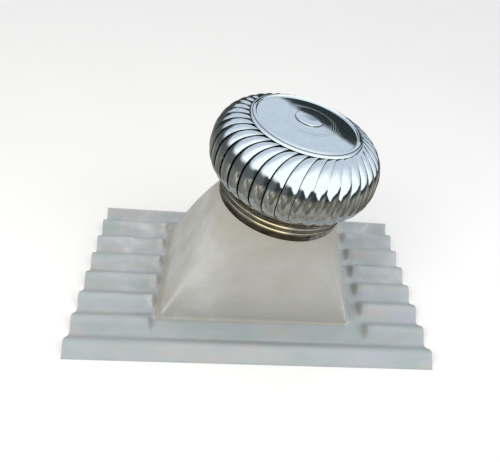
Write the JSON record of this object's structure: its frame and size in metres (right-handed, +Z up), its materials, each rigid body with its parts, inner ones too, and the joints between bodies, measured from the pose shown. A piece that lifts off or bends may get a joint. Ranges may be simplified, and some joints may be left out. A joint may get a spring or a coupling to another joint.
{
  "type": "roof turbine ventilator",
  "caption": "Wind-driven turbine ventilator: a vaned polished rotor on a round neck, over a moulded hood that rises from a corrugated roof sheet.",
  "frame": {"origin": "middle of the base sheet, on the plane that its valleys and the hood's flange rest on", "axes": "+X along the corrugations, towards the up-slope end of the roof that the rotor's axis leans to; +Y across the corrugations, towards the back; +Z up from the sheet"},
  "size_m": [1.82, 1.0823, 1.0257],
  "materials": {
    "sheet_resin": "weathered pale grey gel coat on glass-fibre laminate",
    "hood_resin": "weathered beige-grey gel coat on glass-fibre laminate",
    "polished_steel": "mirror-polished stainless steel sheet",
    "mill_steel": "mill-finish stainless steel",
    "zinc_steel": "zinc-plated mild steel",
    "bearing_steel": "ground bearing steel"
  },
  "bodies": {
    "base": {"corrugated_sheet": "sheet_resin", "throat_hood": "hood_resin", "neck_collar": "polished_steel", "bracket_arm_1": "zinc_steel", "bracket_arm_2": "zinc_steel", "bracket_arm_3": "zinc_steel", "bearing_housing": "zinc_steel", "lower_bearing": "bearing_steel", "upper_bearing": "bearing_steel", "bracket_bolt_1": "zinc_steel", "bracket_bolt_2": "zinc_steel", "bracket_bolt_3": "zinc_steel"},
    "rotor": {"rotor_shaft": "mill_steel", "thrust_collar": "zinc_steel", "vane_foot_ring": "polished_steel", "vane_rim_ring": "mill_steel", "top_plate": "polished_steel", "hub_flange": "zinc_steel", "hub_nut": "zinc_steel", "centre_cap": "polished_steel", "vane_01": "polished_steel", "vane_02": "polished_steel", "vane_03": "polished_steel", "vane_04": "polished_steel", "vane_05": "polished_steel", "vane_06": "polished_steel", "vane_07": "polished_steel", "vane_08": "polished_steel", "vane_09": "polished_steel", "vane_10": "polished_steel", "vane_11": "polished_steel", "vane_12": "polished_steel", "vane_13": "polished_steel", "vane_14": "polished_steel", "vane_15": "polished_steel", "vane_16": "polished_steel", "vane_17": "polished_steel", "vane_18": "polished_steel", "vane_19": "polished_steel", "vane_20": "polished_steel", "vane_21": "polished_steel", "vane_22": "polished_steel", "vane_23": "polished_steel", "vane_24": "polished_steel", "vane_25": "polished_steel", "vane_26": "polished_steel", "vane_27": "polished_steel", "vane_28": "polished_steel", "vane_29": "polished_steel", "vane_30": "polished_steel", "vane_31": "polished_steel", "vane_32": "polished_steel", "vane_33": "polished_steel", "vane_34": "polished_steel", "vane_35": "polished_steel", "vane_36": "polished_steel", "vane_37": "polished_steel", "vane_38": "polished_steel", "vane_39": "polished_steel", "vane_40": "polished_steel"}
  },
  "joints": [
    {"name": "rotor_spin", "type": "hinge", "parent": "base", "child": "rotor", "pos_m": [0.008, 0.07, 0], "axis": [0.1564, 0, 0.9877], "continuous": true}
  ]
}
